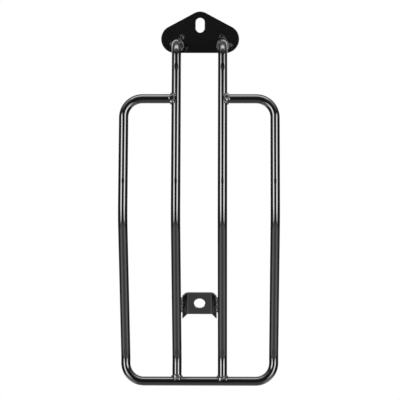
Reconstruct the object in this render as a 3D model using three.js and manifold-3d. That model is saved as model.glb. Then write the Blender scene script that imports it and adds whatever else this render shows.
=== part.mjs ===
// A welded steel luggage rack that bolts to a rear fender behind a solo seat.
// Two rails and one outer loop, all bent from the same round bar, make the deck. A flat plate under the
// rails' front ends and a bent strap between the rails hold it to the fender. It lies here as it would
// on a table: on the plate's underside and on the bends where the rear lip starts.
// Millimetres. +X is the rider's right, +Y is forward, towards the plate, and +Z is up. The origin is the
// centre of the footprint, on the table.

import * as THREE from "three";
import { mergeVertices } from "three/addons/utils/BufferGeometryUtils.js";
import Module from "manifold-3d";

// Overall sizes
const OVERALL_LENGTH = 488.8; // plate's front edge to the back of the rear bar
const LOOP_WIDTH = 193.2; // between the centres of the loop's side runs
const RAIL_SPACING = 59.3; // between the centres of the rails

// Bar
const BAR_DIAMETER = 12;
const CORNER_BEND = 24; // centreline radius of the loop's four corners
const LIP_BEND = 24; // of the bends where the rear lip starts
const DECK_BEND = 48; // of the bends in the middle of the deck
const LEG_BEND = 18; // of the bends where the rails turn down to the plate

// The deck seen from the side
const FRONT_SLOPE = 10; // degrees, rising from the plate to the middle
const REAR_SLOPE = 25; // degrees, falling from the middle to the lip
const LIP_SLOPE = 10; // degrees, rising to the rear bar
const LEG_SETBACK = 45.1; // plate's front edge to the rails' legs
const FRONT_BAR_SETBACK = 117.1; // plate's front edge to the loop's front runs
const LIP_LENGTH = 30; // corner of the lip bend to the rear bar, along Y
const REAR_RUN = 184.7; // corner of the deck bend to the corner of the lip bend, along Y

// Front plate
const PLATE_THICKNESS = 4;
const PLATE_NOSE_RADIUS = 15.7;
const PLATE_LOBE_RADIUS = 18.1;
const PLATE_LOBE_SPACING = 66; // between the lobes' centres
const PLATE_LOBE_SETBACK = 36.1; // plate's front edge to the lobes' centres
const SLOT_WIDTH = 11.4;
const SLOT_LENGTH = 19.4;
const SLOT_SETBACK = 17.9; // plate's front edge to the slot's centre

// Rear bracket
const STRAP_THICKNESS = 3;
const STRAP_WIDTH = 31; // along the deck
const STRAP_INNER_BEND = 3;
const STRAP_BEND = 65; // degrees that each side is bent up from the flat middle
const STRAP_TIP = 0.8; // width of the top of each side, which is trimmed upright along its rail
const BRACKET_SIDE_GAP = 1.4; // between each side of the bracket and its rail
const BRACKET_DROP = 14.4; // rails' centreline to the bracket's underside, square to the deck
const BRACKET_RISE = 0.5; // how far its sides stand above the rails' centreline
const BRACKET_HOLE = 14.4; // diameter
const BRACKET_HOLE_FROM_REAR = 102.4; // centre of the rear bar to the middle of the hole, along Y

// Welds
const ROOT_GAP = 0.3; // left between two pieces that are welded together, and round the weld
const FRONT_JOINT_WELD = 4.2; // leg of the fillet where the loop meets a rail
const REAR_JOINT_WELD = 3.2; // leg of the fillet where a rail meets the rear bar
const WELD_CROWN = 1.2; // how far those fillets stand above the bars
const WELD_SETBACK = 1.2; // from the crown of the bar that goes past to the fillet
const FOOT_WELD = 3.4; // leg of the fillet round each rail's foot
const BRACKET_BEAD = 2.4; // radius
const BRACKET_BEAD_LENGTH = 20;

// Facets
const BAR_SIDES = 24;
const BEND_STEP = 7.5; // degrees of bend to a step
const ROUND_STEPS = 16; // steps in each arc of an outline

const barRadius = BAR_DIAMETER / 2;
const railX = RAIL_SPACING / 2;
const loopX = LOOP_WIDTH / 2;
const slope = (degrees) => Math.tan(THREE.MathUtils.degToRad(degrees));

// Corners of the deck's side profile, as y and z. The lip bend's underside is at z = 0.
const plateFrontY = OVERALL_LENGTH / 2;
const rearBarY = -OVERALL_LENGTH / 2 + barRadius;
const lipY = rearBarY + LIP_LENGTH;
const lipZ = barRadius - lowestPointAboveCorner(REAR_SLOPE, LIP_SLOPE, LIP_BEND);
const rearBarZ = lipZ + LIP_LENGTH * slope(LIP_SLOPE);
const deckY = lipY + REAR_RUN;
const deckZ = lipZ + REAR_RUN * slope(REAR_SLOPE);
const legY = plateFrontY - LEG_SETBACK;
const frontBarY = plateFrontY - FRONT_BAR_SETBACK;
const frontDeckZ = (y) => deckZ - (y - deckY) * slope(FRONT_SLOPE);
const rearDeckZ = (y) => lipZ + (y - lipY) * slope(REAR_SLOPE);

const blackPaint = () => new THREE.MeshStandardMaterial({ color: 0x0b0b0c, roughness: 0.16, metalness: 0 });

const wasm = await Module();
wasm.setup();

// How far the lowest point of a rounded valley lies above the corner that its two slopes would make.
function lowestPointAboveCorner(slopeA, slopeB, radius) {
  const a = THREE.MathUtils.degToRad(slopeA);
  const b = THREE.MathUtils.degToRad(slopeB);
  const tangentLength = radius * Math.tan((a + b) / 2);
  return tangentLength * Math.sin(a) + radius * Math.cos(a) - radius;
}

// The centreline of a bent bar: straight runs from corner to corner, each corner rounded to its bend
// radius. Its steps fall at the ends of the straight runs and along the bends, so that a long straight run
// is a single step.
class BentLine extends THREE.Curve {
  constructor(start, bends, end) {
    super();
    const corners = [start, ...bends.map((bend) => bend.at), end];
    this.stations = [stationAt(start, directionTo(start, corners[1]))];
    bends.forEach(({ at, radius }, i) => {
      this.stations.push(...bendStations(corners[i], at, corners[i + 2], radius));
    });
    this.stations.push(stationAt(end, directionTo(corners[corners.length - 2], end)));
  }

  get steps() {
    return this.stations.length - 1;
  }

  getPointAt(u) {
    return this.stations[Math.round(u * this.steps)].point.clone();
  }

  getTangentAt(u) {
    return this.stations[Math.round(u * this.steps)].tangent.clone();
  }
}

function stationAt(point, tangent) {
  return { point, tangent };
}

function directionTo(from, to) {
  return to.clone().sub(from).normalize();
}

// Points and directions round one bend, whose corner is at `corner`.
function bendStations(before, corner, after, radius) {
  const arriving = directionTo(before, corner);
  const leaving = directionTo(corner, after);
  const turn = arriving.angleTo(leaving);
  const tangentLength = radius * Math.tan(turn / 2);
  const first = corner.clone().addScaledVector(arriving, -tangentLength);
  const axis = arriving.clone().cross(leaving).normalize();
  const centre = first.clone().addScaledVector(axis.clone().cross(arriving), radius);
  const steps = Math.max(2, Math.ceil(THREE.MathUtils.radToDeg(turn) / BEND_STEP));
  return Array.from({ length: steps + 1 }, (_, i) => {
    const angle = (turn * i) / steps;
    const point = first.clone().sub(centre).applyAxisAngle(axis, angle).add(centre);
    return stationAt(point, arriving.clone().applyAxisAngle(axis, angle));
  });
}

function bentBar(start, bends, end) {
  const line = new BentLine(start, bends, end);
  const section = new THREE.Shape().absarc(0, 0, barRadius, 0, 2 * Math.PI);
  return new THREE.ExtrudeGeometry(section, {
    extrudePath: line,
    steps: line.steps,
    curveSegments: BAR_SIDES / 2,
  });
}

// A closed geometry as a manifold-3d solid, and back.
function solidOf(geometry) {
  const bare = geometry.clone();
  bare.deleteAttribute("normal");
  bare.deleteAttribute("uv");
  const merged = mergeVertices(bare, 1e-4);
  return new wasm.Manifold(
    new wasm.Mesh({
      numProp: 3,
      vertProperties: merged.attributes.position.array,
      triVerts: new Uint32Array(merged.index.array),
    }),
  );
}

function geometryOf(solid) {
  const { vertProperties, triVerts } = solid.getMesh();
  const geometry = new THREE.BufferGeometry();
  geometry.setAttribute("position", new THREE.BufferAttribute(new Float32Array(vertProperties), 3));
  geometry.setIndex(new THREE.BufferAttribute(new Uint32Array(triVerts), 1));
  geometry.computeVertexNormals();
  return geometry;
}

// A round bar of any radius along X or Y, between two places on that axis.
function barAlongX(radius, from, to) {
  return new THREE.CylinderGeometry(radius, radius, to - from, 2 * BAR_SIDES)
    .rotateZ(Math.PI / 2)
    .translate((from + to) / 2, 0, 0);
}

function barAlongY(radius, from, to) {
  const bar = new THREE.CylinderGeometry(radius, radius, to - from, 2 * BAR_SIDES);
  return bar.translate(0, (from + to) / 2, 0);
}

// A piece in the frame of one stretch of the deck: local Y runs along the rails and local Z stands square
// to it.
function onDeck(geometry, x, y, z, slopeUpForward) {
  return geometry.clone().rotateX(THREE.MathUtils.degToRad(slopeUpForward)).translate(x, y, z);
}

function railFor(side) {
  const x = side * railX;
  const rail = bentBar(
    new THREE.Vector3(x, legY, PLATE_THICKNESS + ROOT_GAP),
    [
      { at: new THREE.Vector3(x, legY, frontDeckZ(legY)), radius: LEG_BEND },
      { at: new THREE.Vector3(x, deckY, deckZ), radius: DECK_BEND },
      { at: new THREE.Vector3(x, lipY, lipZ), radius: LIP_BEND },
    ],
    new THREE.Vector3(x, rearBarY, rearBarZ),
  );
  // Its rear end is coped to sit against the rear bar.
  const rearBar = barAlongX(barRadius + ROOT_GAP, -BAR_DIAMETER, BAR_DIAMETER);
  return geometryOf(solidOf(rail).subtract(solidOf(rearBar.translate(x, rearBarY, rearBarZ))));
}

function outerLoop() {
  const side = (x, order) => {
    const bends = [
      { at: new THREE.Vector3(x, frontBarY, frontDeckZ(frontBarY)), radius: CORNER_BEND },
      { at: new THREE.Vector3(x, deckY, deckZ), radius: DECK_BEND },
      { at: new THREE.Vector3(x, lipY, lipZ), radius: LIP_BEND },
      { at: new THREE.Vector3(x, rearBarY, rearBarZ), radius: CORNER_BEND },
    ];
    return order > 0 ? bends : bends.reverse();
  };
  const endAt = (x) => new THREE.Vector3(x, frontBarY, frontDeckZ(frontBarY));
  const loop = bentBar(endAt(-railX), [...side(-loopX, 1), ...side(loopX, -1)], endAt(railX));
  // Its two front ends are coped to sit against the rails.
  const rail = barAlongY(barRadius + ROOT_GAP, -BAR_DIAMETER, BAR_DIAMETER);
  const cuts = [-railX, railX].map((x) => onDeck(rail, x, frontBarY, frontDeckZ(frontBarY), -FRONT_SLOPE));
  return geometryOf(cuts.reduce((solid, cut) => solid.subtract(solidOf(cut)), solidOf(loop)));
}

// The plate's outline, in the frame of the nose's front edge: a nose and two lobes, joined by straight edges
// that touch their circles.
function plateOutline() {
  const nose = new THREE.Vector2(0, -PLATE_NOSE_RADIUS);
  const lobe = new THREE.Vector2(PLATE_LOBE_SPACING / 2, -PLATE_LOBE_SETBACK);
  const between = lobe.clone().sub(nose);
  const lean = Math.asin((PLATE_LOBE_RADIUS - PLATE_NOSE_RADIUS) / between.length());
  const edgeNormal = between.angle() + Math.PI / 2 - lean - 2 * Math.PI;
  const outline = new THREE.Shape();
  outline.absarc(nose.x, nose.y, PLATE_NOSE_RADIUS, Math.PI - edgeNormal, edgeNormal, true);
  outline.absarc(lobe.x, lobe.y, PLATE_LOBE_RADIUS, edgeNormal, -Math.PI / 2, true);
  outline.absarc(-lobe.x, lobe.y, PLATE_LOBE_RADIUS, -Math.PI / 2, Math.PI - edgeNormal - 2 * Math.PI, true);
  outline.closePath();
  return outline;
}

function slotOutline() {
  const half = (SLOT_LENGTH - SLOT_WIDTH) / 2;
  const slot = new THREE.Path();
  slot.absarc(0, half - SLOT_SETBACK, SLOT_WIDTH / 2, 0, Math.PI, false);
  slot.absarc(0, -half - SLOT_SETBACK, SLOT_WIDTH / 2, Math.PI, 2 * Math.PI, false);
  slot.closePath();
  return slot;
}

function frontPlate() {
  const outline = plateOutline();
  outline.holes.push(slotOutline());
  return new THREE.ExtrudeGeometry(outline, {
    depth: PLATE_THICKNESS,
    bevelEnabled: false,
    curveSegments: ROUND_STEPS,
  }).translate(0, plateFrontY, 0);
}

// A fillet round the rail's foot, cut off at the edge of the plate.
function footWeld(side) {
  const inner = barRadius + ROOT_GAP;
  const base = PLATE_THICKNESS + ROOT_GAP;
  const profile = [
    [inner, base],
    [inner + FOOT_WELD, base],
    [inner + 0.62 * FOOT_WELD, base + 0.55 * FOOT_WELD],
    [inner, base + FOOT_WELD],
    [inner, base],
  ].map(([r, z]) => new THREE.Vector2(r, z));
  const ring = new THREE.LatheGeometry(profile, 2 * BAR_SIDES)
    .rotateX(Math.PI / 2)
    .translate(side * railX, legY, 0);
  const overPlate = new THREE.ExtrudeGeometry(plateOutline(), {
    depth: 2 * base + FOOT_WELD,
    bevelEnabled: false,
    curveSegments: ROUND_STEPS,
  }).translate(0, plateFrontY, 0);
  return geometryOf(solidOf(ring).intersect(solidOf(overPlate)));
}

// The fillet where the coped end of one bar, along +X, meets the side of another, along Y. Its legs are
// longest at mid-height, where the bars stand square to each other, and it thins out over their crowns.
function jointWeld(leg) {
  const inner = barRadius + ROOT_GAP;
  const reach = 2 * BAR_DIAMETER;
  const toe = barRadius + leg;
  const crown = barRadius + WELD_CROWN;
  const roundEndingBar = barAlongX(toe, WELD_SETBACK, reach).scale(1, 1, crown / toe);
  const roundOtherBar = barAlongY(toe, -reach, reach);
  const face = barRadius + toe; // the fillet's face is the side of a square turned by 45 degrees
  const square = new THREE.CylinderGeometry(face, face, reach, 4).rotateX(Math.PI / 2);
  return geometryOf(
    solidOf(roundEndingBar)
      .intersect(solidOf(roundOtherBar))
      .intersect(solidOf(square))
      .subtract(solidOf(barAlongX(inner, 0, 2 * reach)))
      .subtract(solidOf(barAlongY(inner, -2 * reach, 2 * reach))),
  );
}

// The strap bent to a trough, in the frame of the rear deck: its flat middle under the rails, its flared
// sides up between them.
const bracketHalfWidth = railX - barRadius - BRACKET_SIDE_GAP;
function bracketSection() {
  const bend = THREE.MathUtils.degToRad(STRAP_BEND);
  const floor = STRAP_THICKNESS - BRACKET_DROP;
  const outerBend = STRAP_INNER_BEND + STRAP_THICKNESS;
  const innerCornerX = bracketHalfWidth - STRAP_TIP - (BRACKET_RISE - floor) / Math.tan(bend);
  const bendX = innerCornerX - STRAP_INNER_BEND * Math.tan(bend / 2);
  const bendZ = floor + STRAP_INNER_BEND;
  const start = -Math.PI / 2; // both arcs run between straight down and square to the bent-up side
  const end = start + bend;
  const leftEnd = -Math.PI - end;
  const outerEndX = bendX + outerBend * Math.cos(end);
  const outerEndZ = bendZ + outerBend * Math.sin(end);
  const heel = outerEndZ + (bracketHalfWidth - outerEndX) * Math.tan(bend);
  const section = new THREE.Shape();
  section.moveTo(bracketHalfWidth, BRACKET_RISE);
  section.lineTo(bracketHalfWidth, heel);
  section.absarc(bendX, bendZ, outerBend, end, start, true);
  section.absarc(-bendX, bendZ, outerBend, start, leftEnd, true);
  section.lineTo(-bracketHalfWidth, heel);
  section.lineTo(-bracketHalfWidth, BRACKET_RISE);
  section.lineTo(STRAP_TIP - bracketHalfWidth, BRACKET_RISE);
  section.absarc(-bendX, bendZ, STRAP_INNER_BEND, leftEnd, start, false);
  section.absarc(bendX, bendZ, STRAP_INNER_BEND, start, end, false);
  section.lineTo(bracketHalfWidth - STRAP_TIP, BRACKET_RISE);
  section.closePath();
  return section;
}

function bracket() {
  const strap = new THREE.ExtrudeGeometry(bracketSection(), {
    depth: STRAP_WIDTH,
    bevelEnabled: false,
    curveSegments: ROUND_STEPS / 2,
  })
    .translate(0, 0, -STRAP_WIDTH / 2)
    .rotateX(Math.PI / 2);
  const drill = new THREE.CylinderGeometry(BRACKET_HOLE / 2, BRACKET_HOLE / 2, BRACKET_DROP, 2 * ROUND_STEPS)
    .rotateX(Math.PI / 2)
    .translate(0, 0, -BRACKET_DROP);
  return geometryOf(solidOf(strap).subtract(solidOf(drill)));
}

// The bead in the notch between one side of the bracket and its rail.
function bracketBead(side) {
  const x = side * (bracketHalfWidth + BRACKET_SIDE_GAP / 2);
  const z = BRACKET_RISE + 0.4 * BRACKET_BEAD;
  const bead = new THREE.CapsuleGeometry(BRACKET_BEAD, BRACKET_BEAD_LENGTH - 2 * BRACKET_BEAD, 6, 16)
    .translate(x, (STRAP_WIDTH - BRACKET_BEAD_LENGTH) / 2, z);
  const rail = barAlongY(barRadius + ROOT_GAP, -STRAP_WIDTH, STRAP_WIDTH).translate(side * railX, 0, 0);
  const sideWall = new THREE.BoxGeometry(STRAP_THICKNESS + 2 * ROOT_GAP, 2 * STRAP_WIDTH, 2 * BRACKET_DROP)
    .translate(side * (bracketHalfWidth - STRAP_THICKNESS / 2), 0, BRACKET_RISE + ROOT_GAP - BRACKET_DROP);
  return geometryOf(solidOf(bead).subtract(solidOf(rail)).subtract(solidOf(sideWall)));
}

const rack = new THREE.Group();
const add = (parent, name, geometry) => {
  const mesh = new THREE.Mesh(geometry, blackPaint());
  mesh.name = name;
  parent.add(mesh);
  return mesh;
};

add(rack, "front_plate", frontPlate());
add(rack, "outer_loop", outerLoop());

// The rear bracket and its welds stand in the frame of the sloping rear deck.
const holeDrop = BRACKET_DROP - STRAP_THICKNESS / 2;
const holeLead = holeDrop * Math.sin(THREE.MathUtils.degToRad(REAR_SLOPE)); // the slope carries it forward
const bracketY = rearBarY + BRACKET_HOLE_FROM_REAR - holeLead;
const rearDeck = new THREE.Group();
rearDeck.position.set(0, bracketY, rearDeckZ(bracketY));
rearDeck.rotation.x = THREE.MathUtils.degToRad(REAR_SLOPE);
rack.add(rearDeck);
add(rearDeck, "rear_bracket", bracket());

for (const [hand, side] of [["left", -1], ["right", 1]]) {
  add(rack, `${hand}_rail`, railFor(side));
  add(rack, `${hand}_foot_weld`, footWeld(side));
  add(rearDeck, `${hand}_bracket_weld`, bracketBead(side));

  // The loop's front end meets the rail from outside.
  const frontJoint = add(rack, `${hand}_front_joint_weld`, jointWeld(FRONT_JOINT_WELD));
  frontJoint.position.set(side * railX, frontBarY, frontDeckZ(frontBarY));
  frontJoint.rotation.set(THREE.MathUtils.degToRad(-FRONT_SLOPE), 0, side > 0 ? 0 : Math.PI);

  // The rail's rear end meets the rear bar from the front.
  const rearJoint = add(rack, `${hand}_rear_joint_weld`, jointWeld(REAR_JOINT_WELD));
  rearJoint.position.set(side * railX, rearBarY, rearBarZ);
  rearJoint.rotation.set(THREE.MathUtils.degToRad(-LIP_SLOPE), 0, Math.PI / 2);
}

export default rack;
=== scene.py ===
"""A welded luggage rack for a rear fender, bent from gloss black painted steel bar.

Laid out as an add-on. Metres and radians. +Y is forward, towards the plate, and +Z is up.
"""

import math
import random

import bmesh
import bpy
from bpy.props import FloatProperty, FloatVectorProperty, IntProperty, PointerProperty
from mathutils import Matrix, Vector


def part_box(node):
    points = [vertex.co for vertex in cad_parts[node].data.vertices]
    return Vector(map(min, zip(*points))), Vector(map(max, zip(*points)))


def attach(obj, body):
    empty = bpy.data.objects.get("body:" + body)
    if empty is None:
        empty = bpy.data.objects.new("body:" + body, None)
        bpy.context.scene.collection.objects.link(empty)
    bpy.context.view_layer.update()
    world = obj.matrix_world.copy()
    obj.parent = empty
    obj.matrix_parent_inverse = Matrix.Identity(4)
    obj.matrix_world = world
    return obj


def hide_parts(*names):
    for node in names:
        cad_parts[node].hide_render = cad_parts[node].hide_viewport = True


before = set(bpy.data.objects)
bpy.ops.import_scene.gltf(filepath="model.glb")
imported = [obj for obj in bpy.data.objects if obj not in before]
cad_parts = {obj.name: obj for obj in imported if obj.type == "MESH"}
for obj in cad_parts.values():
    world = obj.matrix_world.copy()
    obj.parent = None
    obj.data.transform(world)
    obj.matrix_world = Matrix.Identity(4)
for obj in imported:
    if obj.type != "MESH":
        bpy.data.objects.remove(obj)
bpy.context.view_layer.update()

bl_info = {
    "name": "Fender luggage rack",
    "version": (1, 0, 0),
    "blender": (4, 5, 0),
    "location": "View3D > Sidebar > Rack",
    "description": "Bends, cuts and welds a steel luggage rack",
    "category": "Add Mesh",
}

MM = 0.001
SIDES = ("left", -1), ("right", 1)

FORMER_RADIUS = 20 * MM  # of the round former that was pressed into the bars
FORMER_REACH = 4.6 * MM  # how far it touches, each way along a bar
FRONT_MARK_Y, MIDDLE_MARK_Y, LIP_MARK_Y = 169 * MM, 21 * MM, -198.5 * MM
MIDDLE_MARK_SHARE = 0.4  # of the other marks' depth

COPE_GAP = 0.05 * MM  # between a bar's end and what it meets
CUTTER_REACH = 15 * MM  # half the length of a coping cutter
DEGREES_PER_RING = 4  # at most, round a bend
BRACKET_BEND_RINGS = 16
BRACKET_SOFT_EDGE = 0.4 * MM
SHARP_EDGE = 50  # degrees: edges sharper than this are softened
SOFT_SEGMENTS = 3

DAB_FLATNESS, CROWN_FLATNESS = 0.62, 0.36  # thickness of a dab as a share of its width
SEAM_DABS, FOOT_DABS, BRACKET_DABS = 18, 24, 12
FRONT_SEED, REAR_SEED, FOOT_SEED, BRACKET_SEED = 10, 20, 30, 40

FLOOR_RADIUS, COVE_HEIGHT, FLOOR_Z = 5, 4, -0.05 * MM
TENT_RADIUS = 4.5
LEAST_GLOW = 0.12  # of the tent
CAMERA_PLACE, CAMERA_AIM = Vector((0.0387, -0.0022, 2.648)), Vector((0.0013, -0.0022, 0.088))
CAMERA_ROLL = 0.07  # degrees
CAMERA_LENS, CAMERA_SENSOR = 182, 36


# ---------------------------------------------------------------- places taken from the frame


def box_of(node):
    low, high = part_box(node)
    return Vector(low), Vector(high)


RAIL_LOW, RAIL_HIGH = box_of("left_rail")
LOOP_LOW, LOOP_HIGH = box_of("outer_loop")
PLATE_LOW, PLATE_HIGH = box_of("front_plate")

BAR_RADIUS = (RAIL_HIGH.x - RAIL_LOW.x) / 2
RAIL_X = -(RAIL_HIGH.x + RAIL_LOW.x) / 2
LOOP_X = LOOP_HIGH.x - BAR_RADIUS
LEG_Y = RAIL_HIGH.y - BAR_RADIUS
FRONT_BAR_Y = LOOP_HIGH.y - BAR_RADIUS
REAR_BAR_Y = LOOP_LOW.y + BAR_RADIUS
PLATE_TOP = PLATE_HIGH.z


# ---------------------------------------------------------------- sizes and colours a user may change


def length(name, description, millimetres):
    size = millimetres * MM
    return FloatProperty(
        name=name, description=description, default=size, min=0, unit="LENGTH", subtype="DISTANCE"
    )


def angle(name, description, degrees):
    turn = math.radians(degrees)
    return FloatProperty(name=name, description=description, default=turn, unit="ROTATION", subtype="ANGLE")


def tint(name, description, default):
    return FloatVectorProperty(
        name=name, description=description, default=default, size=3, subtype="COLOR", min=0, max=1
    )


class RackBarSizes(bpy.types.PropertyGroup):
    corner_bend: length("Corner bend", "Centreline radius of the loop's four corners", 24)
    lip_bend: length("Lip bend", "Centreline radius of the bends where the rear lip starts", 24)
    deck_bend: length("Deck bend", "Centreline radius of the bends in the middle of the deck", 49.3)
    leg_bend: length("Leg bend", "Centreline radius of the bends above the plate", 18)
    front_slope: angle("Front slope", "Rise of the deck from the plate to the middle", 10)
    rear_slope: angle("Rear slope", "Fall of the deck from the middle to the lip", 25)
    lip_slope: angle("Lip slope", "Rise of the lip to the rear bar", 10)
    lip_length: length("Lip length", "Corner of the lip bend to the rear bar", 30)
    rear_run: length("Rear run", "Corner of the deck bend to the corner of the lip bend", 184.7)
    ring: length("Ring spacing", "Distance between the rings of the mesh along a bar", 1.5)
    sides: IntProperty(name="Sides", description="Facets round a bar", default=64, min=16, max=96)
    mark_depth: length("Press mark depth", "Depth of the flats that the bending press left", 0.5)


class RackPlateSizes(bpy.types.PropertyGroup):
    nose_radius: length("Nose radius", "Rounding of the plate's nose", 15.7)
    lobe_radius: length("Lobe radius", "Rounding of the plate's two lobes", 18.1)
    lobe_spacing: length("Lobe spacing", "Distance between the lobes' centres", 66)
    slot_width: length("Slot width", "Width of the bolt slot", 11.4)
    slot_length: length("Slot length", "Length of the bolt slot", 19.4)
    slot_setback: length("Slot setback", "Plate's front edge to the middle of the slot", 17.9)
    soft_edge: length("Softened edge", "Rounding of the cut edges under the paint", 0.5)


class RackBracketSizes(bpy.types.PropertyGroup):
    thickness: length("Strap thickness", "Thickness of the folded strap", 3)
    width: length("Strap width", "Width of the strap along the deck", 31)
    inner_bend: length("Inner bend", "Inside radius of the folds", 3)
    bend: angle("Bend", "How far each side is bent up from the flat middle", 65)
    tip: length("Tip", "Width of the top of each side, trimmed upright along its rail", 0.8)
    side_gap: length("Side gap", "Gap between each side and its rail", 1.4)
    drop: length("Drop", "Rails' centreline to the bracket's underside", 14.4)
    rise: length("Rise", "How far the sides stand above the rails' centreline", 0.5)
    hole: length("Hole", "Diameter of the bolt hole", 14.4)
    hole_from_rear: length("Hole from rear", "Rear bar's centre to the middle of the hole", 102.4)


class RackWeldSizes(bpy.types.PropertyGroup):
    front_dab: length("Front dab", "Radius of one dab of the front joints' beads", 2.1)
    rear_dab: length("Rear dab", "Radius of one dab of the rear joints' beads", 1.9)
    foot_dab: length("Foot dab", "Radius of one dab of the beads round the rails' feet", 2.1)
    bracket_dab: length("Bracket dab", "Radius of one dab of the bracket's beads", 2.0)
    voxel: length("Grain", "Size of the smallest detail of a bead", 0.3)


class RackPaint(bpy.types.PropertyGroup):
    colour: tint("Colour", "Gloss paint", (0.0011, 0.0011, 0.0013))
    gloss: FloatProperty(
        name="Roughness", description="Roughness of the gloss paint", default=0.07, min=0, max=1
    )
    peel: length("Orange peel", "Height of the paint's orange peel", 0.0016)


class RackStage(bpy.types.PropertyGroup):
    floor_colour: tint("Floor", "Colour of the pale floor", (1.0, 1.0, 1.0))
    softbox: FloatProperty(
        name="Softboxes", description="Radiance of the two side softboxes", default=18, min=0
    )
    front_light: FloatProperty(
        name="Front light", description="Radiance of the low front light", default=8, min=0
    )


GROUPS = {
    "rack_bars": RackBarSizes,
    "rack_plate": RackPlateSizes,
    "rack_bracket": RackBracketSizes,
    "rack_welds": RackWeldSizes,
    "rack_paint": RackPaint,
    "rack_stage": RackStage,
}


# ---------------------------------------------------------------- the deck's side profile


class Deck:
    """Corners of the deck's centreline, and its height at any place along Y."""

    def __init__(self, bars):
        self.front, self.rear, self.lip = bars.front_slope, bars.rear_slope, bars.lip_slope
        tangent = bars.lip_bend * math.tan((self.rear + self.lip) / 2)
        lowest = tangent * math.sin(self.rear) + bars.lip_bend * math.cos(self.rear) - bars.lip_bend
        self.lip_y = REAR_BAR_Y + bars.lip_length
        self.lip_z = BAR_RADIUS - lowest
        self.rear_bar_z = self.lip_z + bars.lip_length * math.tan(self.lip)
        self.deck_y = self.lip_y + bars.rear_run
        self.deck_z = self.lip_z + bars.rear_run * math.tan(self.rear)

    def front_z(self, y):
        return self.deck_z - (y - self.deck_y) * math.tan(self.front)

    def rear_z(self, y):
        return self.lip_z + (y - self.lip_y) * math.tan(self.rear)


# ---------------------------------------------------------------- workshop tools


def deselect_all():
    if bpy.context.object and bpy.context.object.mode != "OBJECT":
        bpy.ops.object.mode_set(mode="OBJECT")
    bpy.ops.object.select_all(action="DESELECT")


def only(piece):
    deselect_all()
    piece.select_set(True)
    bpy.context.view_layer.objects.active = piece


def start_shape(name):
    """Names the primitive that was just added and puts its place into its mesh."""
    piece = bpy.context.object
    piece.name = name
    bpy.ops.object.transform_apply(location=True, rotation=True, scale=True)
    return piece


def edit(piece, select="SELECT"):
    only(piece)
    bpy.ops.object.mode_set(mode="EDIT")
    bpy.ops.mesh.select_all(action=select)


def leave_edit():
    bpy.ops.object.mode_set(mode="OBJECT")


def pick(piece, kind, test):
    """Selects the vertices, edges or faces that pass the test, and returns how many."""
    mesh = bmesh.from_edit_mesh(piece.data)
    for part in (*mesh.verts, *mesh.edges, *mesh.faces):
        part.select = False
    picked = [part for part in getattr(mesh, kind) if test(part)]
    for part in picked:
        part.select_set(True)
    bmesh.update_edit_mesh(piece.data)
    return len(picked)


def apply_modifier(piece, kind, **settings):
    only(piece)
    modifier = piece.modifiers.new(kind.lower(), kind)
    for key, value in settings.items():
        setattr(modifier, key, value)
    bpy.ops.object.modifier_apply(modifier=modifier.name)


def cut(piece, cutter):
    """Takes the cutter's shape out of the piece and throws the cutter away."""
    apply_modifier(piece, "BOOLEAN", operation="DIFFERENCE", solver="EXACT", object=cutter)
    bpy.data.objects.remove(cutter, do_unlink=True)
    if not piece.data.polygons:
        raise RuntimeError(f"nothing is left of {piece.name}")


def round_cutter(centre, direction, radius, reach):
    """A round bar along the direction, to be taken out of a piece."""
    deselect_all()
    bpy.ops.mesh.primitive_cylinder_add(
        vertices=96,
        radius=radius,
        depth=2 * reach,
        location=centre,
        rotation=Vector(direction).to_track_quat("Z", "Y").to_euler(),
    )
    return start_shape("cutter")


def trim(piece, place, outward):
    """Saws off all that lies outward of a plane and closes the cut."""
    edit(piece)
    bpy.ops.mesh.bisect(plane_co=place, plane_no=outward, use_fill=True, clear_outer=True)
    leave_edit()


def smooth(piece):
    only(piece)
    bpy.ops.object.shade_smooth_by_angle(angle=math.radians(40))


def soften_edges(piece, width):
    apply_modifier(
        piece,
        "BEVEL",
        width=width,
        segments=SOFT_SEGMENTS,
        limit_method="ANGLE",
        angle_limit=math.radians(SHARP_EDGE),
    )


def close_and_face_out(piece, merge=True):
    """Merges the piece's seams, turns its faces outwards, and makes sure that it is closed."""
    edit(piece)
    if merge:
        bpy.ops.mesh.remove_doubles(threshold=1e-6)
    bpy.ops.mesh.normals_make_consistent(inside=False)
    leave_edit()
    mesh = bmesh.new()
    mesh.from_mesh(piece.data)
    opened = sum(len(e.link_faces) != 2 for e in mesh.edges)
    volume = mesh.calc_volume(signed=True)
    mesh.free()
    if opened or volume <= 0:
        raise RuntimeError(f"{piece.name} has {opened} open edges and a volume of {volume}")


def hand_over(piece, node, paint):
    """Gives a finished piece its paint and its place in the frame."""
    piece.data.materials.clear()
    piece.data.materials.append(paint)
    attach(piece, "root")
    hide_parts(node)
    deselect_all()


# ---------------------------------------------------------------- bent bars


def corner_arc(before, corner, after, radius):
    """Start, centre, axis and turn of the bend at one corner, and where it ends."""
    arriving, leaving = (corner - before).normalized(), (after - corner).normalized()
    turn = arriving.angle(leaving)
    tangent = radius * math.tan(turn / 2)
    first = corner - arriving * tangent
    axis = arriving.cross(leaving).normalized()
    return first, first + axis.cross(arriving) * radius, axis, turn, corner + leaving * tangent


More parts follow.
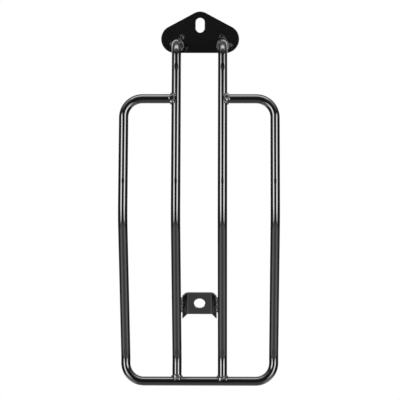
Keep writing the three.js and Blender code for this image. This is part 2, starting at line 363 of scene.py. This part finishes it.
def bend_bar(name, start, bends, end, radius, bars):
    """A round bar, drawn out from a circle along its straight runs and spun round its bends."""
    corners = [start, *(at for at, _ in bends), end]
    deselect_all()
    bpy.ops.mesh.primitive_circle_add(
        vertices=bars.sides,
        radius=radius,
        location=start,
        rotation=(corners[1] - start).to_track_quat("Z", "Y").to_euler(),
    )
    piece = start_shape(name)
    edit(piece)
    here = start
    for (at, bend_radius), before, after in zip(bends, corners, corners[2:]):
        first, centre, axis, turn, last = corner_arc(before, at, after, bend_radius)
        bpy.ops.mesh.extrude_region_move(TRANSFORM_OT_translate={"value": first - here})
        rings = math.ceil(math.degrees(turn) / DEGREES_PER_RING)
        bpy.ops.mesh.spin(steps=rings, angle=turn, center=centre, axis=-axis)
        here = last
    bpy.ops.mesh.extrude_region_move(TRANSFORM_OT_translate={"value": end - here})
    bpy.ops.mesh.edge_face_add()
    pick(piece, "edges", lambda e: e.is_boundary)
    bpy.ops.mesh.edge_face_add()
    ring_straight_runs(piece, bars.ring)
    close_and_face_out(piece)
    return piece


def ring_straight_runs(piece, spacing):
    """Cuts each straight run into short rings, longest run first."""
    bpy.ops.mesh.select_mode(type="EDGE")
    while True:
        longest = max(e.calc_length() for e in bmesh.from_edit_mesh(piece.data).edges)
        if longest < 1.6 * spacing:
            break
        pick(piece, "edges", lambda e: abs(e.calc_length() - longest) < 2e-6)
        bpy.ops.mesh.subdivide(number_cuts=round(longest / spacing) - 1)
    bpy.ops.mesh.select_mode(type="VERT")


def press_mark(piece, crown, up, depth):
    """A shallow flat, pointed at both ends, where a round former lay across the bar's crown."""
    former = crown + up * (FORMER_RADIUS - depth)
    along = Vector((1, 0, 0)).cross(up)

    def under_former(vertex):
        off = vertex.co - former
        beside = abs(off.x) < BAR_RADIUS and abs(off.dot(along)) < FORMER_REACH
        return beside and off.dot(up) < 0 and math.hypot(off.dot(along), off.dot(up)) < FORMER_RADIUS

    edit(piece, "DESELECT")
    if not pick(piece, "verts", under_former):
        raise RuntimeError(f"the former doesn't reach {piece.name} at {crown}")
    mesh = bmesh.from_edit_mesh(piece.data)
    for vertex in (v for v in mesh.verts if v.select):
        off = vertex.co - former
        level = -math.sqrt(FORMER_RADIUS**2 - off.dot(along) ** 2)
        vertex.co += up * (level - off.dot(up))
    bmesh.update_edit_mesh(piece.data)
    leave_edit()


def press_marks(piece, x, deck, depth, front_places):
    """The marks along one bar: those on the front slope, and the one on the rear slope beside the lip."""
    front_up = Vector((0, math.sin(deck.front), math.cos(deck.front)))
    rear_up = Vector((0, -math.sin(deck.rear), math.cos(deck.rear)))
    for y, share in front_places:
        crown = Vector((x, y, deck.front_z(y))) + front_up * BAR_RADIUS
        press_mark(piece, crown, front_up, share * depth)
    crown = Vector((x, LIP_MARK_Y, deck.rear_z(LIP_MARK_Y))) + rear_up * BAR_RADIUS
    press_mark(piece, crown, rear_up, depth)


class RACK_OT_rails(bpy.types.Operator):
    """Bend the two rails from round bar and cope their rear ends"""

    bl_idname = "rack.rails"
    bl_label = "Bend the rails"

    def execute(self, context):
        bars = context.scene.rack_bars
        paint = gloss_paint("gloss_black_on_rails", context.scene.rack_paint, 1.0)
        deck = Deck(bars)
        for hand, side in SIDES:
            x = side * RAIL_X
            piece = bend_bar(
                f"{hand}_rail_bar",
                Vector((x, LEG_Y, PLATE_TOP + COPE_GAP)),
                [
                    (Vector((x, LEG_Y, deck.front_z(LEG_Y))), bars.leg_bend),
                    (Vector((x, deck.deck_y, deck.deck_z)), bars.deck_bend),
                    (Vector((x, deck.lip_y, deck.lip_z)), bars.lip_bend),
                ],
                Vector((x, REAR_BAR_Y, deck.rear_bar_z)),
                BAR_RADIUS,
                bars,
            )
            places = [(FRONT_MARK_Y, 1), (MIDDLE_MARK_Y, MIDDLE_MARK_SHARE)]
            press_marks(piece, x, deck, bars.mark_depth, places)
            rear_bar = Vector((x, REAR_BAR_Y, deck.rear_bar_z))
            cut(piece, round_cutter(rear_bar, (1, 0, 0), BAR_RADIUS + COPE_GAP, CUTTER_REACH))
            close_and_face_out(piece)
            smooth(piece)
            hand_over(piece, f"{hand}_rail", paint)
        return {"FINISHED"}


class RACK_OT_loop(bpy.types.Operator):
    """Bend the outer loop from one round bar and cope its two front ends"""

    bl_idname = "rack.loop"
    bl_label = "Bend the outer loop"

    def execute(self, context):
        bars = context.scene.rack_bars
        paint = gloss_paint("gloss_black_on_loop", context.scene.rack_paint, 1.0)
        deck = Deck(bars)
        front_z = deck.front_z(FRONT_BAR_Y)

        def side_bends(x):
            return [
                (Vector((x, FRONT_BAR_Y, front_z)), bars.corner_bend),
                (Vector((x, deck.deck_y, deck.deck_z)), bars.deck_bend),
                (Vector((x, deck.lip_y, deck.lip_z)), bars.lip_bend),
                (Vector((x, REAR_BAR_Y, deck.rear_bar_z)), bars.corner_bend),
            ]

        piece = bend_bar(
            "outer_loop_bar",
            Vector((-RAIL_X, FRONT_BAR_Y, front_z)),
            side_bends(-LOOP_X) + side_bends(LOOP_X)[::-1],
            Vector((RAIL_X, FRONT_BAR_Y, front_z)),
            BAR_RADIUS,
            bars,
        )
        for x in (-LOOP_X, LOOP_X):
            press_marks(piece, x, deck, bars.mark_depth, [(MIDDLE_MARK_Y, MIDDLE_MARK_SHARE)])
        along = (0, -math.cos(deck.front), math.sin(deck.front))
        for x in (-RAIL_X, RAIL_X):
            cut(piece, round_cutter((x, FRONT_BAR_Y, front_z), along, BAR_RADIUS + COPE_GAP, CUTTER_REACH))
        close_and_face_out(piece)
        smooth(piece)
        hand_over(piece, "outer_loop", paint)
        return {"FINISHED"}


# ---------------------------------------------------------------- front plate


def flat_round(x, y, radius, low, high):
    bpy.ops.mesh.primitive_cylinder_add(
        vertices=128, radius=radius, depth=high - low, location=(x, y, (low + high) / 2)
    )


def hull_of_rounds(name, rounds, low, high):
    """A flat shape whose outline is stretched round a few circles."""
    deselect_all()
    flat_round(*rounds[0], low, high)
    piece = start_shape(name)
    edit(piece)
    for spot in rounds[1:]:
        flat_round(*spot, low, high)
    bpy.ops.mesh.select_all(action="SELECT")
    bpy.ops.mesh.convex_hull()
    bpy.ops.mesh.select_all(action="SELECT")
    bpy.ops.mesh.dissolve_limited(angle_limit=math.radians(0.5))
    leave_edit()
    return piece


class RACK_OT_plate(bpy.types.Operator):
    """Cut the front plate and its bolt slot"""

    bl_idname = "rack.plate"
    bl_label = "Cut the front plate"

    def execute(self, context):
        sizes = context.scene.rack_plate
        front, rear = PLATE_HIGH.y, PLATE_LOW.y
        lobe_x, lobe_y = sizes.lobe_spacing / 2, rear + sizes.lobe_radius
        piece = hull_of_rounds(
            "front_plate_steel",
            [
                (0, front - sizes.nose_radius, sizes.nose_radius),
                (-lobe_x, lobe_y, sizes.lobe_radius),
                (lobe_x, lobe_y, sizes.lobe_radius),
            ],
            PLATE_LOW.z,
            PLATE_TOP,
        )
        half, middle = (sizes.slot_length - sizes.slot_width) / 2, front - sizes.slot_setback
        slot = hull_of_rounds(
            "slot",
            [(0, middle - half, sizes.slot_width / 2), (0, middle + half, sizes.slot_width / 2)],
            PLATE_LOW.z - 2 * MM,
            PLATE_TOP + 2 * MM,
        )
        cut(piece, slot)
        soften_edges(piece, sizes.soft_edge)
        close_and_face_out(piece)
        smooth(piece)
        paint = gloss_paint("gloss_black_on_plate", context.scene.rack_paint, 0.8, bloom=True)
        hand_over(piece, "front_plate", paint)
        return {"FINISHED"}


# ---------------------------------------------------------------- rear bracket


def bracket_frame(deck, sizes):
    """Turn and place of the rear bracket: its Y runs along the rails, its Z stands square to them."""
    lead = (sizes.drop - sizes.thickness / 2) * math.sin(deck.rear)
    y = REAR_BAR_Y + sizes.hole_from_rear - lead
    return Matrix.Translation((0, y, deck.rear_z(y))) @ Matrix.Rotation(deck.rear, 4, "X")


def bracket_half_width(sizes):
    return RAIL_X - BAR_RADIUS - sizes.side_gap


class RACK_OT_bracket(bpy.types.Operator):
    """Fold the rear bracket from a strap and drill its hole"""

    bl_idname = "rack.bracket"
    bl_label = "Fold the rear bracket"

    def execute(self, context):
        sizes, deck = context.scene.rack_bracket, Deck(context.scene.rack_bars)
        half_width, bottom = bracket_half_width(sizes), -sizes.drop
        corner_x = half_width - sizes.tip - (sizes.rise - bottom - sizes.thickness) / math.tan(sizes.bend)
        flat_x = corner_x - sizes.inner_bend * math.tan(sizes.bend / 2)
        fold, leg = sizes.inner_bend + sizes.thickness, 2 * sizes.drop
        deselect_all()
        bpy.ops.mesh.primitive_plane_add(size=1, location=(0, 0, bottom))
        bpy.context.object.scale = (2 * flat_x, sizes.width, 1)
        piece = start_shape("rear_bracket_strap")
        edit(piece)
        bpy.ops.mesh.select_mode(type="EDGE")
        for side in (-1, 1):
            pick(piece, "edges", lambda e: all(abs(v.co.x - side * flat_x) < 1e-6 for v in e.verts))
            bpy.ops.mesh.spin(
                steps=BRACKET_BEND_RINGS,
                angle=sizes.bend,
                center=(side * flat_x, 0, bottom + fold),
                axis=(0, side, 0),
            )
            flare = (side * leg * math.cos(sizes.bend), 0, leg * math.sin(sizes.bend))
            bpy.ops.mesh.extrude_region_move(TRANSFORM_OT_translate={"value": flare})
        bpy.ops.mesh.select_mode(type="VERT")
        bpy.ops.mesh.select_all(action="SELECT")
        bpy.ops.mesh.remove_doubles(threshold=1e-6)
        bpy.ops.mesh.normals_make_consistent(inside=False)
        leave_edit()
        middle = min(piece.data.polygons, key=lambda p: (p.center - Vector((0, 0, bottom))).length)
        apply_modifier(piece, "SOLIDIFY", thickness=sizes.thickness, offset=-1 if middle.normal.z < 0 else 1)
        trim(piece, (half_width, 0, 0), (1, 0, 0))
        trim(piece, (-half_width, 0, 0), (-1, 0, 0))
        trim(piece, (0, 0, sizes.rise), (0, 0, 1))
        flat = (0, 0, bottom + sizes.thickness / 2)
        cut(piece, round_cutter(flat, (0, 0, 1), sizes.hole / 2, 4 * MM))
        soften_edges(piece, BRACKET_SOFT_EDGE)
        piece.data.transform(bracket_frame(deck, sizes))
        close_and_face_out(piece)
        smooth(piece)
        paint = gloss_paint("gloss_black_on_bracket", context.scene.rack_paint, 0.8)
        hand_over(piece, "rear_bracket", paint)
        return {"FINISHED"}


# ---------------------------------------------------------------- weld beads


# Flat dabs on top of each joint: place across the ending bar, place along it and radius in millimetres,
# then how far the dab leans along and across that bar in degrees.
FRONT_CROWN_DABS = {
    "left": (
        (4.2, 3.3, 3.0, 22, 4),
        (-3.8, 2.4, 2.6, 22, -6),
        (4.6, 6.9, 2.2, 22, 10),
        (-3.4, 6.2, 2.2, 5, -35),
        (1, 9.2, 2.2, 30, 20),
    ),
    "right": (
        (-2, 5.1, 2.8, 22, 0),
        (-1.4, 8.3, 2.2, 20, 0),
        (3.4, 6.9, 2.2, 15, 20),
        (3.6, 2.4, 2.4, 22, 5),
        (-6, 3.2, 1.8, 10, -20),
    ),
}
REAR_CROWN_DABS = {
    "left": (
        (2.4, 5.6, 3.2, 0, 22),
        (-3, 6.2, 2.2, 0, -22),
        (-3.8, 2.6, 2.4, 10, -35),
        (3, 1.6, 2.2, -20, 35),
    ),
    "right": (
        (3.1, 2.3, 3.4, 0, 22),
        (-5.2, 1.8, 2.0, 0, -22),
        (-1, 3.4, 2.6, -10, -8),
        (-3.6, 5.6, 2.0, 10, -40),
    ),
}


def lay_bead(name, dabs, voxel, flow=3):
    """A weld bead: dabs of metal, each flattened along one direction, run into one another.

    Each dab is its place, that direction, its radius and, if it isn't the usual, its flatness. The flow is
    how many times the bead is smoothed.
    """
    deselect_all()
    piece = None
    for place, travel, radius, *flatness in dabs:
        bpy.ops.mesh.primitive_uv_sphere_add(
            segments=20,
            ring_count=12,
            radius=radius,
            location=place,
            rotation=Vector(travel).to_track_quat("Z", "Y").to_euler(),
            scale=(1, 1, *(flatness or [DAB_FLATNESS])),
        )
        if piece is None:
            piece = start_shape(name)
            edit(piece)
    leave_edit()
    apply_modifier(piece, "REMESH", mode="VOXEL", voxel_size=voxel)
    apply_modifier(piece, "SMOOTH", factor=0.5, iterations=flow)
    close_and_face_out(piece, merge=False)
    only(piece)
    bpy.ops.object.shade_smooth()
    return piece


def uneven(seed):
    """A steady hand that still wavers: a generator of factors near 1."""
    draw = random.Random(seed)
    return lambda spread: 1 + draw.uniform(-spread, spread)


def seam_place(turn, outward):
    """Where the bead lies round a joint: against both bars at the sides, on top of them at the crown."""
    out = abs(math.cos(turn))
    reach = BAR_RADIUS + 0.15 * outward
    return Vector((reach * out + 0.8 * outward * (1 - out), reach * math.cos(turn), reach * math.sin(turn)))


def crown_height(across, along):
    """Height of the two joined bars' upper surface."""
    ending = math.sqrt(max(BAR_RADIUS**2 - across**2, 0))
    crossing = math.sqrt(max(BAR_RADIUS**2 - along**2, 0))
    return max(ending, crossing)


def joint_dabs(dab, seed, crown_dabs):
    """Dabs round the joint of a coped bar along +X with a bar along Y, and on top of it."""
    hand = uneven(seed)
    dabs = []
    for i in range(SEAM_DABS):
        turn = 2 * math.pi * i / SEAM_DABS
        place = seam_place(turn, dab)
        travel = place - seam_place(turn - 0.1, dab)
        dabs.append((place, travel, dab * (1 - 0.25 * abs(math.cos(turn))) * hand(0.12)))
    for across, along, radius, lean_along, lean_across in crown_dabs:
        across, along, radius = across * MM, along * MM, radius * MM
        place = Vector((along, across, crown_height(across, along) + 0.15 * radius))
        facing = Vector((math.tan(math.radians(lean_along)), math.tan(math.radians(lean_across)), 1))
        dabs.append((place, facing, radius, CROWN_FLATNESS))
    return dabs


def moved(dabs, matrix):
    turn = matrix.to_3x3()
    return [(matrix @ Vector(place), turn @ Vector(travel), *rest) for place, travel, *rest in dabs]


class RACK_OT_joint_welds(bpy.types.Operator):
    """Weld the loop's front ends and the rails' rear ends"""

    bl_idname = "rack.joint_welds"
    bl_label = "Weld the four bar joints"

    def execute(self, context):
        welds, deck = context.scene.rack_welds, Deck(context.scene.rack_bars)
        paint = gloss_paint("gloss_black_on_joint_welds", context.scene.rack_paint, 0.6)
        for hand, side in SIDES:
            tilt = Matrix.Rotation(-deck.front, 4, "X")
            face = Matrix.Rotation(0 if side > 0 else math.pi, 4, "Z")
            place = Matrix.Translation((side * RAIL_X, FRONT_BAR_Y, deck.front_z(FRONT_BAR_Y)))
            dabs = joint_dabs(welds.front_dab, FRONT_SEED + side, FRONT_CROWN_DABS[hand])
            piece = lay_bead(f"{hand}_front_joint_bead", moved(dabs, place @ tilt @ face), welds.voxel)
            hand_over(piece, f"{hand}_front_joint_weld", paint)

            tilt = Matrix.Rotation(-deck.lip, 4, "X")
            place = Matrix.Translation((side * RAIL_X, REAR_BAR_Y, deck.rear_bar_z))
            face = Matrix.Rotation(math.pi / 2, 4, "Z")
            dabs = joint_dabs(welds.rear_dab, REAR_SEED + side, REAR_CROWN_DABS[hand])
            piece = lay_bead(f"{hand}_rear_joint_bead", moved(dabs, place @ tilt @ face), welds.voxel)
            hand_over(piece, f"{hand}_rear_joint_weld", paint)
        return {"FINISHED"}


class RACK_OT_foot_welds(bpy.types.Operator):
    """Weld the rails' feet to the plate"""

    bl_idname = "rack.foot_welds"
    bl_label = "Weld the feet"

    def execute(self, context):
        welds = context.scene.rack_welds
        paint = gloss_paint("gloss_black_on_foot_welds", context.scene.rack_paint, 0.6, 6.5)
        ring = BAR_RADIUS + 0.5 * welds.foot_dab
        for hand, side in SIDES:
            waver = uneven(FOOT_SEED + side)
            dabs = []
            for i in range(FOOT_DABS):
                turn = 2 * math.pi * i / FOOT_DABS
                spot = Vector((side * RAIL_X + ring * math.cos(turn), LEG_Y + ring * math.sin(turn), 0))
                spot.z = PLATE_TOP + 0.35 * welds.foot_dab
                travel = (-math.sin(turn), math.cos(turn), 0)
                dabs.append((spot, travel, welds.foot_dab * waver(0.1)))
            piece = lay_bead(f"{hand}_foot_bead", dabs, welds.voxel, flow=30)
            hand_over(piece, f"{hand}_foot_weld", paint)
        return {"FINISHED"}


class RACK_OT_bracket_welds(bpy.types.Operator):
    """Weld the bracket's sides to the rails"""

    bl_idname = "rack.bracket_welds"
    bl_label = "Weld the bracket"

    def execute(self, context):
        scene = context.scene
        welds, sizes = scene.rack_welds, scene.rack_bracket
        paint = gloss_paint("gloss_black_on_bracket_welds", scene.rack_paint, 0.6, 6.0)
        place = bracket_frame(Deck(scene.rack_bars), sizes)
        for hand, side in SIDES:
            waver = uneven(BRACKET_SEED + side)
            x = side * (bracket_half_width(sizes) + sizes.side_gap / 2)
            start, end = sizes.width / 2 - 20 * MM, sizes.width / 2 - 1 * MM
            dabs = []
            for i in range(BRACKET_DABS):
                y = start + (end - start) * i / (BRACKET_DABS - 1)
                spot = Vector((x + 0.2 * MM * (waver(1) - 1), y, sizes.rise + 0.8 * MM))
                dabs.append((spot, (0, 1, 0.1), welds.bracket_dab * waver(0.12)))
            piece = lay_bead(f"{hand}_bracket_bead", moved(dabs, place), welds.voxel)
            hand_over(piece, f"{hand}_bracket_weld", paint)
        return {"FINISHED"}


# ---------------------------------------------------------------- paint


def node(tree, kind, inputs=None, **settings):
    made = tree.nodes.new(kind)
    for key, value in settings.items():
        setattr(made, key, value)
    for key, value in (inputs or {}).items():
        if isinstance(value, bpy.types.NodeSocket):
            tree.links.new(value, made.inputs[key])
        else:
            made.inputs[key].default_value = value
    return made


def ramp(tree, value, low, high, to_low, to_high, kind="SMOOTHSTEP"):
    """The value carried from the range low to high over to the range to_low to to_high."""
    reach = {"Value": value, "From Min": low, "From Max": high, "To Min": to_low, "To Max": to_high}
    return node(tree, "ShaderNodeMapRange", reach, interpolation_type=kind).outputs["Result"]


def combine(tree, operation, first, *others):
    """The sum, product or other result of several values, taken in order."""
    for other in others:
        first = node(tree, "ShaderNodeMath", {0: first, 1: other}, operation=operation).outputs[0]
    return first


# Where the welding heat left the plate's paint dull: the side, the offset across and forward from that
# rail's foot and the radius in millimetres, and how dull.
HEAT_BLOOM = (
    (-1, 0, 1, 11.5, 0.5),
    (-1, 5.2, 11.5, 6, 1),
    (-1, 2.5, 8, 5, 1),
    (-1, -8, 3, 4, 0.8),
    (1, 0, 1, 11.5, 0.5),
    (1, -1.5, 11, 6.5, 1),
    (1, 3, 7.5, 5, 0.8),
    (1, 11, 0.5, 5, 1),
)


def heat_bloom(tree, place):
    """How dull the paint is at each place: soft blotches round the feet."""
    total = 0.0
    for side, across, forward, radius, share in HEAT_BLOOM:
        centre = (side * RAIL_X + across * MM, LEG_Y + forward * MM, PLATE_TOP)
        away = node(tree, "ShaderNodeVectorMath", {0: place, 1: centre}, operation="DISTANCE")
        patch = ramp(tree, away.outputs["Value"], 0.3 * radius * MM, radius * MM, share, 0)
        total = combine(tree, "MAXIMUM", total, patch)
    blotches = node(tree, "ShaderNodeTexNoise", {"Vector": place, "Scale": 260, "Detail": 2.0})
    spread = ramp(tree, blotches.outputs["Fac"], 0.36, 0.62, 0.1, 1, "LINEAR")
    return combine(tree, "MULTIPLY", total, spread)


def gloss_paint(name, paint, peel, dull=1.0, bloom=False):
    """Gloss black paint: orange peel, a faint haze where it was wiped, and slightly uneven colour.

    Peel and dull multiply the orange peel's height and the roughness. Bloom adds the heat's dull blotches.
    """
    if name in bpy.data.materials:
        return bpy.data.materials[name]
    material = bpy.data.materials.new(name)
    material.use_nodes = True
    tree = material.node_tree
    shader = tree.nodes["Principled BSDF"]
    place = node(tree, "ShaderNodeTexCoord").outputs["Object"]
    coarse = node(
        tree, "ShaderNodeTexNoise", {"Vector": place, "Scale": 260, "Detail": 1.0, "Roughness": 0.3}
    )
    fine = node(tree, "ShaderNodeTexNoise", {"Vector": place, "Scale": 1500, "Detail": 1.0})
    wiped = node(tree, "ShaderNodeTexNoise", {"Vector": place, "Scale": 60, "Detail": 4.0, "Roughness": 0.6})
    low = tuple(0.75 * c for c in paint.colour) + (1,)
    high = tuple(1.25 * c for c in paint.colour) + (1,)
    mixed = node(tree, "ShaderNodeMix", {"Factor": wiped.outputs["Fac"]}, data_type="RGBA")
    mixed.inputs[6].default_value, mixed.inputs[7].default_value = low, high
    tree.links.new(mixed.outputs[2], shader.inputs["Base Color"])
    least, most = 0.8 * dull * paint.gloss, 1.3 * dull * paint.gloss
    roughness = ramp(tree, wiped.outputs["Fac"], 0.3, 0.7, least, most, "LINEAR")
    if bloom:
        duller = combine(tree, "MULTIPLY", heat_bloom(tree, place), 0.4)
        roughness = combine(tree, "ADD", roughness, duller)
    tree.links.new(roughness, shader.inputs["Roughness"])
    height = peel * paint.peel
    wave = node(
        tree, "ShaderNodeBump", {"Height": coarse.outputs["Fac"], "Distance": height, "Strength": 1.0}
    )
    grain = node(
        tree,
        "ShaderNodeBump",
        {
            "Height": fine.outputs["Fac"],
            "Distance": 0.1 * height,
            "Strength": 1.0,
            "Normal": wave.outputs["Normal"],
        },
    )
    tree.links.new(grain.outputs["Normal"], shader.inputs["Normal"])
    shader.inputs["IOR"].default_value = 1.5
    return material


# ---------------------------------------------------------------- stage


def glowing_material(name):
    """A material that only gives off white light, with its node tree and the node that glows."""
    material = bpy.data.materials.new(name)
    material.use_nodes = True
    tree = material.node_tree
    tree.nodes.clear()
    glow = node(tree, "ShaderNodeEmission", {"Color": (1, 1, 1, 1)})
    node(tree, "ShaderNodeOutputMaterial", {"Surface": glow.outputs[0]})
    return material, tree, glow


def softbox(name, direction, distance, wide, high, radiance):
    light = bpy.data.lights.new(name, "AREA")
    light.shape = "RECTANGLE"
    light.size, light.size_y = wide, high
    light.energy = radiance * math.pi * wide * high
    lamp = bpy.data.objects.new(name, light)
    bpy.context.collection.objects.link(lamp)
    lamp.location = Vector(direction).normalized() * distance
    lamp.rotation_euler = (-lamp.location).to_track_quat("-Z", "Y").to_euler()
    return lamp


def tent_material(strength):
    """Glow of the studio round the object, by direction: it is what the gloss paint mirrors."""
    material, tree, glow = glowing_material("studio_surroundings")
    place = node(tree, "ShaderNodeTexCoord").outputs["Object"]
    unit = node(tree, "ShaderNodeVectorMath", {0: place}, operation="NORMALIZE").outputs["Vector"]
    axes = node(tree, "ShaderNodeSeparateXYZ", {"Vector": unit})
    x, y, z = (axes.outputs[key] for key in "XYZ")
    aside = node(tree, "ShaderNodeMath", {0: x}, operation="ABSOLUTE").outputs[0]

    def band(value, low, high, to_low=0, to_high=1):
        return ramp(tree, value, low, high, to_low, to_high)

    def times(*values):
        return combine(tree, "MULTIPLY", *values)

    # A dim wall behind.
    rear = band(y, -0.35, -0.65, 0, 0.85)
    # A bright strip low in front, weaker below and above it.
    front = times(band(z, -0.12, 0.16, 0.8, 4.2), band(z, 0.34, 0.62, 1, 0.3), band(y, 0.42, 0.85))
    # The floor in front, which only steep faces mirror.
    low_front = times(band(y, 0.04, 0.22, 0, 2), band(z, -0.55, -0.8))
    # Two faint wings beside the wall behind.
    wing = times(band(aside, 0.3, 0.5), band(aside, 0.72, 0.86, 1, 0), band(y, -0.4, -0.6, 0, 1.3))
    # Two tall soft panels, one at each side, that fade towards the rear.
    outline = times(band(aside, 0.39, 0.47), band(aside, 0.76, 0.84, 1, 0))
    outline = times(outline, times(band(z, 0.02, 0.15), band(y, 0.34, 0.46, 1, 0)))
    fade = times(band(y, -0.52, -0.3, 0, 0.55), band(y, -0.45, 0.25, 0.9, 1.8))
    panel = times(outline, times(fade, strength))
    sides = combine(tree, "ADD", wing, panel)
    total = combine(tree, "ADD", combine(tree, "ADD", rear, front), sides, LEAST_GLOW, low_front)
    tree.links.new(total, glow.inputs["Strength"])
    material.cycles.emission_sampling = "NONE"
    return material


class RACK_OT_stage(bpy.types.Operator):
    """Set up the pale floor, the soft lights and the camera above the rack"""

    bl_idname = "rack.stage"
    bl_label = "Set the stage"

    def execute(self, context):
        scene, stage = context.scene, context.scene.rack_stage
        deselect_all()
        bpy.ops.mesh.primitive_circle_add(
            vertices=96, radius=FLOOR_RADIUS, fill_type="NGON", location=(0, 0, FLOOR_Z)
        )
        floor = start_shape("floor")
        edit(floor)
        bpy.ops.mesh.extrude_region_move(TRANSFORM_OT_translate={"value": (0, 0, COVE_HEIGHT)})
        bpy.ops.mesh.delete(type="ONLY_FACE")
        leave_edit()
        material = bpy.data.materials.new("pale_floor")
        material.use_nodes = True
        shader = material.node_tree.nodes["Principled BSDF"]
        shader.inputs["Base Color"].default_value = (0.002, 0.002, 0.002, 1)
        shader.inputs["Roughness"].default_value = 1
        shader.inputs["Specular IOR Level"].default_value = 0
        shader.inputs["Emission Color"].default_value = (*stage.floor_colour, 1)
        shader.inputs["Emission Strength"].default_value = 1
        material.cycles.emission_sampling = "NONE"
        floor.data.materials.append(material)
        floor.visible_glossy = False
        floor.visible_diffuse = False

        bpy.ops.mesh.primitive_uv_sphere_add(segments=48, ring_count=24, radius=TENT_RADIUS)
        tent = start_shape("tent")
        tent.data.materials.append(tent_material(stage.softbox))
        tent.visible_camera = tent.visible_diffuse = tent.visible_shadow = False

        across, ahead = math.radians(40), math.radians(10)
        for name, side in SIDES:
            direction = (side * math.sin(across), math.sin(ahead), math.cos(across))
            lamp = softbox(f"{name}_softbox", direction, 1.2, 0.6, 0.8, stage.softbox)
            lamp.visible_glossy = False
        lean = math.radians(70)
        softbox("front_light", (0, math.sin(lean), math.cos(lean)), 1.6, 1.6, 0.55, stage.front_light)

        world = bpy.data.worlds.new("studio")
        world.use_nodes = True
        world.node_tree.nodes["Background"].inputs["Color"].default_value = (0, 0, 0, 1)
        scene.world = world

        lens = bpy.data.cameras.new("camera")
        lens.lens, lens.sensor_width = CAMERA_LENS, CAMERA_SENSOR
        lens.clip_start, lens.clip_end = 0.1, 20
        camera = bpy.data.objects.new("camera", lens)
        bpy.context.collection.objects.link(camera)
        camera.location = CAMERA_PLACE
        aim = CAMERA_AIM - CAMERA_PLACE
        back, up = -aim.normalized(), Vector((0, 1, 0))
        right = up.cross(back).normalized()
        look = Matrix((right, back.cross(right), back)).transposed()
        camera.rotation_euler = (look @ Matrix.Rotation(math.radians(CAMERA_ROLL), 3, "Z")).to_euler()
        scene.camera = camera
        scene.view_settings.view_transform = "Standard"
        return {"FINISHED"}


# ---------------------------------------------------------------- panel and main


STEPS = (
    RACK_OT_rails,
    RACK_OT_loop,
    RACK_OT_plate,
    RACK_OT_bracket,
    RACK_OT_joint_welds,
    RACK_OT_foot_welds,
    RACK_OT_bracket_welds,
    RACK_OT_stage,
)


class RACK_PT_panel(bpy.types.Panel):
    """Sizes and steps of the rack"""

    bl_label = "Luggage rack"
    bl_idname = "RACK_PT_panel"
    bl_space_type = "VIEW_3D"
    bl_region_type = "UI"
    bl_category = "Rack"

    def draw(self, context):
        for key, group in GROUPS.items():
            box = self.layout.box()
            for prop in group.__annotations__:
                box.prop(getattr(context.scene, key), prop)
        for step in STEPS:
            self.layout.operator(step.bl_idname)


def register():
    for cls in (*GROUPS.values(), *STEPS, RACK_PT_panel):
        bpy.utils.register_class(cls)
    for key, group in GROUPS.items():
        setattr(bpy.types.Scene, key, PointerProperty(type=group))


def unregister():
    for key in GROUPS:
        delattr(bpy.types.Scene, key)
    for cls in reversed((*GROUPS.values(), *STEPS, RACK_PT_panel)):
        bpy.utils.unregister_class(cls)


def main():
    register()
    for step in STEPS:
        group, name = step.bl_idname.split(".")
        getattr(getattr(bpy.ops, group), name)()


if __name__ == "__main__":
    main()
